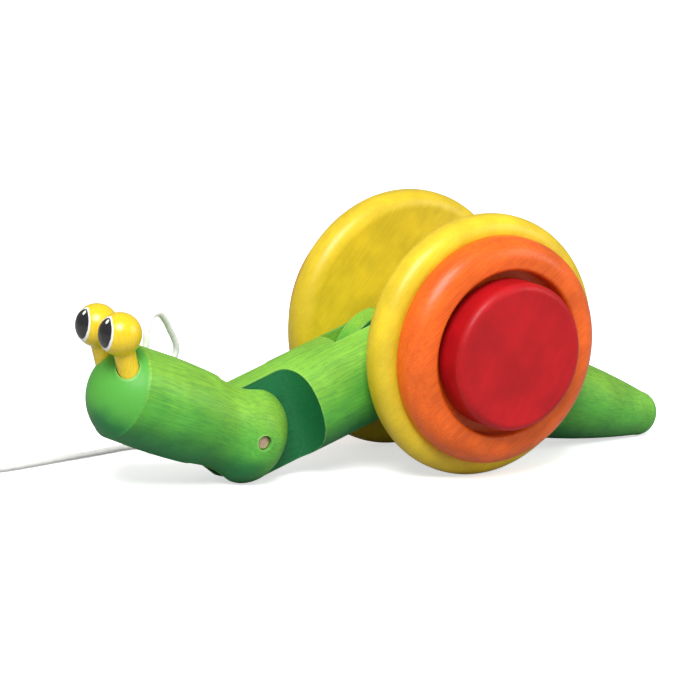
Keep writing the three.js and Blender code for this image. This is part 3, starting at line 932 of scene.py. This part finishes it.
def braid_tube(name, line, radius, carriers):
    """A tube along a line whose surface is a plain braid, closed over its last two points."""
    sides = 24
    points, depths, faces = [], [], []
    normal = (line[1] - line[0]).orthogonal().normalized()
    travelled = 0.0
    lay = radius * 5.2
    for i, at in enumerate(line):
        ahead, behind = line[min(i + 1, len(line) - 1)], line[max(i - 1, 0)]
        along = (ahead - behind).normalized()
        normal = (normal - along * normal.dot(along)).normalized()
        side = along.cross(normal)
        if i:
            travelled += (at - line[i - 1]).length
        closing = min(1.0, (min(i, len(line) - 1 - i) + 0.5) / 2.0)
        for j in range(sides):
            turn = math.tau * j / sides
            right_hand = math.sin(carriers / 2 * (turn + math.tau * travelled / lay))
            left_hand = math.sin(carriers / 2 * (turn - math.tau * travelled / lay))
            over = max(abs(right_hand) ** 0.6, abs(left_hand) ** 0.6)
            both = min(abs(right_hand), abs(left_hand))
            r = radius * (0.84 + 0.17 * over - 0.05 * both) * closing
            # How deep the point lies between the strands, for the cord's painted shade.
            depths.append(1.0 - over)
            points.append(at + (normal * math.cos(turn) + side * math.sin(turn)) * r)
    count = len(line)
    for i in range(count - 1):
        for j in range(sides):
            k = (j + 1) % sides
            faces.append((i * sides + j, i * sides + k, (i + 1) * sides + k, (i + 1) * sides + j))
    faces.append(tuple(range(sides)))
    faces.append(tuple(range((count - 1) * sides, count * sides)))
    return woven(name, points, faces, depths)


def knot(name, at, radius, axis):
    """A tight stopper knot: a ball of three crossing wraps of the cord, braided like it."""
    points, depths, faces = [], [], []
    rows, sides = 40, 72
    turn_to = Vector((0, 0, 1)).rotation_difference(Vector(axis)).to_matrix()
    for i in range(rows + 1):
        v = math.pi * i / rows
        for j in range(sides if 0 < i < rows else 1):
            u = math.tau * j / sides
            wraps = abs(math.sin(1.5 * u + 1.15 * math.sin(v * 2) + 2.2 * math.cos(v)))
            wraps = wraps ** 0.55
            strand = abs(math.sin(14 * v + 4 * u)) * abs(math.sin(14 * v - 4 * u))
            r = radius * (0.76 + 0.20 * wraps + 0.03 * strand)
            # How deep the point lies between the wraps, for the knot's painted shade.
            depths.append((1 - wraps) * 0.9)
            spot = Vector((math.sin(v) * math.cos(u), math.sin(v) * math.sin(u), math.cos(v)))
            points.append(Vector(at) + turn_to @ (spot * r))
    def index(i, j):
        if i == 0:
            return 0
        return len(points) - 1 if i == rows else 1 + (i - 1) * sides + j % sides
    for i in range(rows):
        for j in range(sides):
            corners = [index(i, j), index(i, j + 1), index(i + 1, j + 1), index(i + 1, j)]
            faces.append(tuple(dict.fromkeys(corners)))
    return woven(name, points, faces, depths)


def make_cord(cord, head, finish):
    """The cord from its knot under the chin, over the head, behind it, and into its coil."""
    knot_height = KNOT_BORE_TOP - 0.0003 - cord.knot / 2
    step = cord.diameter * 1.04
    centre = Vector((NECK.x + cord.coil_x, cord.coil_y, 0))
    beside = cord.coil / 2 + step + cord.diameter / 2 + 0.0003
    low = cord.diameter / 2 + FLOOR_GAP
    over = [in_cord_hole(head, knot_height + cord.knot / 2 - 0.0012), in_cord_hole(head, 0.004),
            in_cord_hole(head, 0.0185)]
    route = [Vector((NECK.x + x, y, z)) for x, y, z in CORD_ROUTE]
    lead_in = [Vector((centre.x + 0.011, centre.y + beside + 0.0003, low)),
               Vector((centre.x, centre.y + beside, low))]
    tail_start = Vector((centre.x + 0.005, centre.y - beside - 0.0002, low))
    tail_end = Vector((centre.x + 0.004, centre.y - beside, low)) + Vector((0.008, -0.0015, 0))
    line = smooth_curve([*over, *route, *lead_in], 24)
    line = line[:-1] + coil_line(cord, centre)
    line += smooth_curve([line[-1], tail_start, (tail_start + tail_end) / 2, tail_end], 10)[1:]
    line = even(line, 0.00045)
    material = braided_cord("white braid", finish)
    piece = braid_tube("pull_cord", line, cord.diameter / 2, cord.carriers)
    fit(piece, material, "head", "cord", "cord_lead", "cord_coil", "cord_tail")
    stopper = knot("cord_stopper_knot", in_cord_hole(head, knot_height), cord.knot / 2,
                   in_cord_hole(head, 0.01) - in_cord_hole(head, 0))
    fit(stopper, material, "head", "cord", "cord_knot")
    tied = knot("cord_tied_end", tail_end + Vector((cord.knot / 2 - 0.0006, 0,
                (cord.knot - cord.diameter) / 2)), cord.knot / 2, (1, 0, 0.2))
    fit(tied, material, "head", "cord", "cord_end_knot")


# ---- wooden blocks ----
# The head's outline from the neck hinge: its waist, where the barrel starts and its widest place.
WAIST_AT, SWELL_AT, WIDEST_AT = 0.011, 0.024, 0.040
CUTTER = 0.03  # cutting tools reach this far on both sides of a block's axis


def head_frame(head):
    """Local X runs from the neck hinge to the nose, and local Z is the top of the head."""
    p = head.pitch
    return block_frame(NECK, (-math.cos(p), 0, math.sin(p)), (math.sin(p), 0, math.cos(p)))


def eye_matrix(eyes, side):
    """Turns a piece made along Z into an eye's place on the head, with zero at the head's axis."""
    lean = Matrix.Rotation(math.pi / 2 - eyes.lean, 4, "Y")
    return Matrix.Translation((eyes.root, side * eyes.apart, 0)) @ lean


def knuckle_profile(end, diameter, steps):
    """A knuckle's outline from its end to its widest place."""
    power = 2 / 2.4
    turns = [math.radians(90 * i / steps) for i in range(steps + 1)]
    return [(-end * math.cos(t) ** power if i < steps else 0.0, diameter / 2 * math.sin(t) ** power)
            for i, t in enumerate(turns)]


def drill_hinge(piece, diameter, at=0.0):
    """Bores a hinge's hole through a block."""
    shape_with(piece, rod("hinge hole", diameter / 2, -CUTTER, CUTTER, "Y", (at, 0, 0), 48))


def tongue_end(reach, half, start, steps):
    """Points of a tongue's end, from its top round to its bottom."""
    turns = [math.radians(start + (360 - 2 * start) * i / steps) for i in range(steps + 1)]
    return [(reach * math.cos(t), half * math.sin(t)) for t in turns]


def mill_front(piece, body, end):
    """Leaves a tongue round the hinge, between two scoops that clear the fork's cheeks."""
    foot, shoulder = body.tongue / 2, body.shoulder
    scoop = [(shoulder - body.scoop_length * (1 - math.sin(t)),
              foot + body.scoop_width * (1 - math.cos(t)))
             for t in [math.pi / 2 * i / 32 for i in range(33)]]
    half = [*scoop, (shoulder, body.diameter), (0.2, body.diameter)]
    keep = prism("kept block", half + [(x, -y) for x, y in reversed(half)], CUTTER, "Z")
    outline = [*end, (shoulder, -body.diameter), (shoulder, body.diameter)]
    shape_with(keep, prism("tongue", outline, foot, "Y"), "UNION")
    shape_with(piece, keep, "INTERSECT")


def make_head(head, eyes, shell, finish):
    """The turned head with its slot, sockets, pin hole and the cord's hole."""
    full = head.barrel / 2
    barrel = smooth_curve([
        (0, head.knuckle / 2, 0), (WAIST_AT, head.waist / 2, 0), (SWELL_AT, full - 0.0006, 0),
        (WIDEST_AT, full, 0), (head.barrel_end, head.barrel_end_diameter / 2, 0)], 8)
    edge = head.barrel_end + 0.0006
    start = math.degrees(math.acos((edge - head.nose_centre) / head.nose_radius))
    profile = knuckle_profile(head.knuckle_end, head.knuckle, 20)
    profile += [(p.x, p.y) for p in barrel[1:]]
    profile += arc(head.nose_centre, 0, head.nose_radius, start, 0, 24)
    piece = turned("head_turned", profile, 160)
    wide = head.slot / 2
    shape_with(piece, slab("slot", (-CUTTER, -wide, -CUTTER), (head.slot_depth, wide, CUTTER)))
    drill_hinge(piece, shell.pin + shell.gap)
    hole_at = (head.cord_hole_place, -CORD_HOLE_SIDE, 0)
    shape_with(piece, rod("cord hole", head.cord_hole / 2, -CUTTER, CUTTER, "Z", hole_at, 32))
    shape_with(piece, rod("knot bore", head.knot_bore / 2, -CUTTER, KNOT_BORE_TOP, "Z", hole_at, 48))
    for side in (-1, 1):
        socket = rod("socket", eyes.stalk / 2 + shell.gap, eyes.socket_floor, 0.03, "Z", segments=48)
        socket.data.transform(eye_matrix(eyes, side))
        shape_with(piece, socket)
    ease_edges(piece, 0.00035)
    material = green_wood("green head", finish, (0.31, 0.12, 0.07), nose_from=edge,
                          slot=(-1, head.slot_depth, wide))
    fit(piece, material, "head", "green_wood", "head_block", at=head_frame(head))


def make_eyes(eyes, head, shell, finish):
    """Two turned balls on stalks, painted towards the front."""
    radius, stalk = eyes.ball / 2, eyes.stalk / 2
    below = math.degrees(math.asin((stalk + 0.0004) / radius))
    foot = eyes.socket_floor + shell.gap
    neck_at = eyes.reach - radius * math.cos(math.radians(below))
    fillet = [(neck_at - 0.0014, stalk), (neck_at - 0.0006, stalk + 0.00008)]
    profile = [(foot, 0), (foot, stalk - 0.0003), (foot + 0.0003, stalk), *fillet]
    profile += arc(eyes.reach, 0, radius, 180 - below, 0, 40)
    profile[-1] = (eyes.reach + radius, 0)
    material = eye_paint("eye paint", finish, radius)
    for name, side in (("left", 1), ("right", -1)):
        piece = turned(f"eye_{name}_painted", profile, 96, "Z")
        to_world = head_frame(head) @ eye_matrix(eyes, side)
        ball = to_world @ Vector((0, 0, eyes.reach))
        piece.data.transform(Matrix.Translation(-ball) @ to_world)
        ease_edges(piece, 0)
        fit(piece, material, "head", "eye_paint", f"eye_{name}", at=Matrix.Translation(ball))


def dowel(name, radius, half, chamfer):
    """A dowel across the toy with chamfered, slightly domed ends."""
    end = [(-half - 0.0001, 0), (-half, radius * 0.6), (-half, radius - chamfer),
           (-half + chamfer, radius)]
    piece = turned(name, end + [(-a, r) for a, r in reversed(end)], 64, "Y")
    ease_edges(piece, 0)
    return piece


def make_dowels(head, shell, finish):
    """The neck pin and the axle."""
    material = bare_wood("bare dowel", finish)
    pin = dowel("neck_dowel", shell.pin / 2, head.knuckle / 2 - shell.pin_recess,
                0.0005)
    fit(pin, material, "head", "plain_wood", "neck_pin", at=Matrix.Translation(NECK))
    half = shell.disc_inner + shell.disc_thickness - shell.gap
    axle = dowel("axle_dowel", shell.axle / 2, half, 0.0006)
    fit(axle, material, "shell", "plain_wood", "axle", at=Matrix.Translation(AXLE))


def make_body(body, head, shell, finish):
    """The middle block: a tongue between scoops in front, and a fork with a round end behind."""
    wide, slot, far = body.diameter / 2, head.slot / 2, NECK_TO_AXLE
    knuckle = knuckle_profile(head.knuckle_end, body.diameter, 20)
    blank = [(-body.tongue_reach - 0.001, 0), (-body.tongue_reach - 0.001, wide)]
    piece = turned("body_milled", blank + [(far - x, r) for x, r in reversed(knuckle)], 160)
    half = body.tongue_height / 2
    mill_front(piece, body, tongue_end(body.tongue_reach, half, 90, 48))
    floor = far - body.rear_fork
    shape_with(piece, slab("slot", (floor, -slot, -CUTTER), (far + CUTTER, slot, CUTTER)))
    drill_hinge(piece, shell.pin + shell.gap)
    drill_hinge(piece, shell.axle + shell.gap, far)
    ease_edges(piece, 0.0004)
    b = BODY_PITCH
    at = block_frame(NECK, (math.cos(b), 0, math.sin(b)), (-math.sin(b), 0, math.cos(b)))
    material = green_wood("green body", finish, (0.05, 0.41, 0.23), slot=(1, floor, slot),
                          scoops=(body.tongue_reach, half, body.shoulder, wide))
    fit(piece, material, "body", "green_wood", "body_block", at=at)


def make_tail(tail, body, shell, finish):
    """The tapered tail with the tongue that sits in the body's fork, sanded flat where it drags."""
    wide, start, round_end = body.diameter / 2, tail.straight, tail.tongue_radius

    def taper(s):
        return wide - (tail.arc - math.sqrt(tail.arc ** 2 - (s - start) ** 2))

    tip_start = tail.reach - tail.tip
    profile = [(-round_end - 0.001, 0), (-round_end - 0.001, wide)]
    profile += [(start + (tip_start - start) * i / 24, taper(start + (tip_start - start) * i / 24))
                for i in range(25)]
    turns = [math.radians(90 * (i + 1) / 14) for i in range(14)]
    profile += [(tip_start + tail.tip * math.sin(t), taper(tip_start) * max(0, math.cos(t)) ** 0.8)
                for t in turns[:-1]] + [(tail.reach, 0)]
    piece = turned("tail_turned", profile, 160)
    mill_front(piece, body, tongue_end(round_end, round_end, 66, 60))
    drill_hinge(piece, shell.axle + shell.gap)
    p = tail.pitch
    at = block_frame(AXLE, (math.cos(p), 0, -math.sin(p)), (math.sin(p), 0, math.cos(p)))
    ground = slab("ground", (-0.2, -0.05, -0.04), (0.2, 0.05, 0))
    ground.data.transform(at.inverted())
    shape_with(piece, ground)
    ease_edges(piece, 0.00035)
    material = green_wood("green tail", finish, (0.72, 0.28, 0.51),
                          scoops=(round_end, round_end, body.shoulder, wide))
    fit(piece, material, "tail", "green_wood", "tail_block", at=at)


# ---- shell ----
def rounded_disc(inner, outer, radius, round_radius, steps=18):
    """The profile of a disc whose rim is rounded on both faces."""
    rim = arc(0, 0, round_radius, -90, 0, steps)
    low = [(inner + round_radius + y, radius - round_radius + r) for r, y in rim]
    high = [(outer - round_radius - y, radius - round_radius + r) for r, y in reversed(rim)]
    return [(inner, 0), *low, *high, (outer, 0)]


def make_pair(name, node, slot, profile, segments, paint, bore=None):
    """A disc for each side of the toy, the left one turned over. Each has grain of its own."""
    for word, side in (("left", -1), ("right", 1)):
        piece = turned(name.format(word), profile, segments, "Y")
        if side < 0:
            piece.data.transform(Matrix.Rotation(math.pi, 4, "X"))
        if bore is not None:
            at = AXLE - DISC_CENTRE
            shape_with(piece, rod("axle hole", bore / 2, -0.06, 0.06, "Y", at, 48))
        ease_edges(piece, 0)
        fit(piece, paint(word, side), "shell", slot, f"{node}_{word}",
            at=Matrix.Translation(DISC_CENTRE))


def make_discs(shell, finish):
    """The two big yellow discs, which roll on the floor."""
    outer = shell.disc_inner + shell.disc_thickness
    profile = rounded_disc(shell.disc_inner, outer, shell.disc / 2,
                           shell.disc_thickness / 2 - 0.0006)

    def paint(word, side):
        return lacquered_wood(
            f"yellow disc {word}", finish.yellow, finish.yellow_deep, (0.11 + 0.4 * side, 0.2, 0.6),
            turn=52, bare=(0.93, 0.78, 0.25), gloss=(0.34, 0.46), coat=0.25, depth=0.28, rub=0.12)
    make_pair("big_disc_{}", "wheel", "yellow_wood", profile, 192, paint, shell.axle + shell.gap)


def make_rings(shell, finish):
    """The two orange rings, each a wide quarter round with a recess for its hub disc."""
    inner = shell.disc_inner + shell.disc_thickness + shell.gap
    outer, lip, bevel = inner + shell.ring_thickness, shell.ring_bore / 2, shell.ring_lip
    floor, wide, big = inner + shell.ring_floor, shell.ring / 2, shell.ring_round
    shoulder = [(outer - big * (1 - math.sin(a)), wide - big * (1 - math.cos(a)))
                for a in [math.radians(90 * i / 24) for i in range(25)]]
    mouth = [(outer - bevel * (1 - math.cos(a)), lip + bevel * (1 - math.sin(a)))
             for a in [math.radians(90 * i / 8) for i in range(9)]]
    foot = [(inner, wide - 0.001), (inner + 0.0004, wide - 0.0003), (inner + 0.001, wide)]
    profile = [(inner, 0), *foot, *shoulder, *mouth, (floor, lip), (floor, 0)]

    def paint(word, side):
        return lacquered_wood(
            f"orange ring {word}", finish.orange, finish.orange_deep,
            (0.53 - 0.3 * side, 0.7, 0.15), turn=38, bare=(0.95, 0.50, 0.14), gloss=(0.34, 0.46),
            coat=0.25, depth=0.40, rub=0.10)
    make_pair("ring_{}_turned", "ring", "orange_wood", profile, 176, paint)


def make_hubs(shell, finish):
    """The two red discs that stand out of the rings."""
    face = shell.disc_inner + shell.disc_thickness
    inner = face + shell.ring_floor + 2 * shell.gap
    outer = face + shell.ring_thickness + shell.gap + shell.hub_proud
    profile = rounded_disc(inner, outer, shell.hub / 2, shell.hub_round, 12)

    def paint(word, side):
        return lacquered_wood(
            f"red hub {word}", finish.red, finish.red_deep, (0.27 + 0.2 * side, 0.33, 0.44),
            turn=62, bare=(0.78, 0.08, 0.06), gloss=(0.38, 0.52), coat=0.06, depth=0.34, rub=0.15)
    make_pair("hub_{}_turned", "hub_disc", "red_wood", profile, 144, paint)


# ---- operators ----
class SNAIL_OT_stage(bpy.types.Operator):
    """Set up the camera, the lights, the floor and the shared finishes"""

    bl_idname = "snail.stage"
    bl_label = "Stage and Finishes"

    def execute(self, context):
        for build in (make_wood_grain, make_stain_soak, make_rubbed_edges, make_handling):
            build()
        make_stage(context.scene.snail_stage)
        return {"FINISHED"}


class SNAIL_OT_cord(bpy.types.Operator):
    """Braid the cord, coil its spare length and tie its knots"""

    bl_idname = "snail.cord"
    bl_label = "Cord and Knots"

    def execute(self, context):
        scene = context.scene
        make_cord(scene.snail_cord, scene.snail_head, scene.snail_finish)
        return {"FINISHED"}


class SNAIL_OT_head(bpy.types.Operator):
    """Turn the head block, and cut its slot, sockets and holes"""

    bl_idname = "snail.head"
    bl_label = "Head Block"

    def execute(self, context):
        scene = context.scene
        make_head(scene.snail_head, scene.snail_eyes, scene.snail_shell, scene.snail_finish)
        return {"FINISHED"}


class SNAIL_OT_eyes(bpy.types.Operator):
    """Turn the two eyes and paint them"""

    bl_idname = "snail.eyes"
    bl_label = "Eyes"

    def execute(self, context):
        scene = context.scene
        make_eyes(scene.snail_eyes, scene.snail_head, scene.snail_shell, scene.snail_finish)
        return {"FINISHED"}


class SNAIL_OT_dowels(bpy.types.Operator):
    """Cut the neck pin and the axle"""

    bl_idname = "snail.dowels"
    bl_label = "Neck Pin and Axle"

    def execute(self, context):
        scene = context.scene
        make_dowels(scene.snail_head, scene.snail_shell, scene.snail_finish)
        return {"FINISHED"}


class SNAIL_OT_body(bpy.types.Operator):
    """Turn and mill the body block, with its tongue and its fork"""

    bl_idname = "snail.body"
    bl_label = "Body Block"

    def execute(self, context):
        scene = context.scene
        make_body(scene.snail_body, scene.snail_head, scene.snail_shell, scene.snail_finish)
        return {"FINISHED"}


class SNAIL_OT_tail(bpy.types.Operator):
    """Turn the tail block, and mill its tongue and its worn flat"""

    bl_idname = "snail.tail"
    bl_label = "Tail Block"

    def execute(self, context):
        scene = context.scene
        make_tail(scene.snail_tail, scene.snail_body, scene.snail_shell, scene.snail_finish)
        return {"FINISHED"}


class SNAIL_OT_shell(bpy.types.Operator):
    """Turn the discs, rings and hub discs of the shell"""

    bl_idname = "snail.shell"
    bl_label = "Shell Discs"

    def execute(self, context):
        scene = context.scene
        for build in (make_discs, make_rings, make_hubs):
            build(scene.snail_shell, scene.snail_finish)
        return {"FINISHED"}


PIECES = ("stage", "cord", "head", "eyes", "dowels", "body", "tail", "shell")
SETTINGS = {
    "snail_stage": SNAIL_PG_stage, "snail_head": SNAIL_PG_head, "snail_eyes": SNAIL_PG_eyes,
    "snail_body": SNAIL_PG_body, "snail_tail": SNAIL_PG_tail, "snail_shell": SNAIL_PG_shell,
    "snail_cord": SNAIL_PG_cord, "snail_finish": SNAIL_PG_finish,
}


class SNAIL_PT_panel(bpy.types.Panel):
    """The snail's pieces, in the order they are made"""

    bl_label = "Pull Along Snail"
    bl_idname = "SNAIL_PT_panel"
    bl_space_type = "VIEW_3D"
    bl_region_type = "UI"
    bl_category = "Snail"

    def draw(self, context):
        for piece in PIECES:
            self.layout.operator(f"snail.{piece}")
        for name, kind in SETTINGS.items():
            box = self.layout.box()
            box.label(text=kind.__doc__)
            for key in kind.__annotations__:
                box.prop(getattr(context.scene, name), key)


CLASSES = (
    *SETTINGS.values(), SNAIL_OT_stage, SNAIL_OT_cord, SNAIL_OT_head, SNAIL_OT_eyes,
    SNAIL_OT_dowels, SNAIL_OT_body, SNAIL_OT_tail, SNAIL_OT_shell, SNAIL_PT_panel,
)


def register():
    """Registers the classes and hangs the settings on the scene."""
    for kind in CLASSES:
        bpy.utils.register_class(kind)
    for name, kind in SETTINGS.items():
        setattr(bpy.types.Scene, name, PointerProperty(type=kind))


def unregister():
    """Takes the settings and classes away again."""
    for name in SETTINGS:
        delattr(bpy.types.Scene, name)
    for kind in reversed(CLASSES):
        bpy.utils.unregister_class(kind)


def main():
    """Makes every piece in order."""
    register()
    for piece in PIECES:
        getattr(bpy.ops.snail, piece)()


if __name__ == "__main__":
    main()
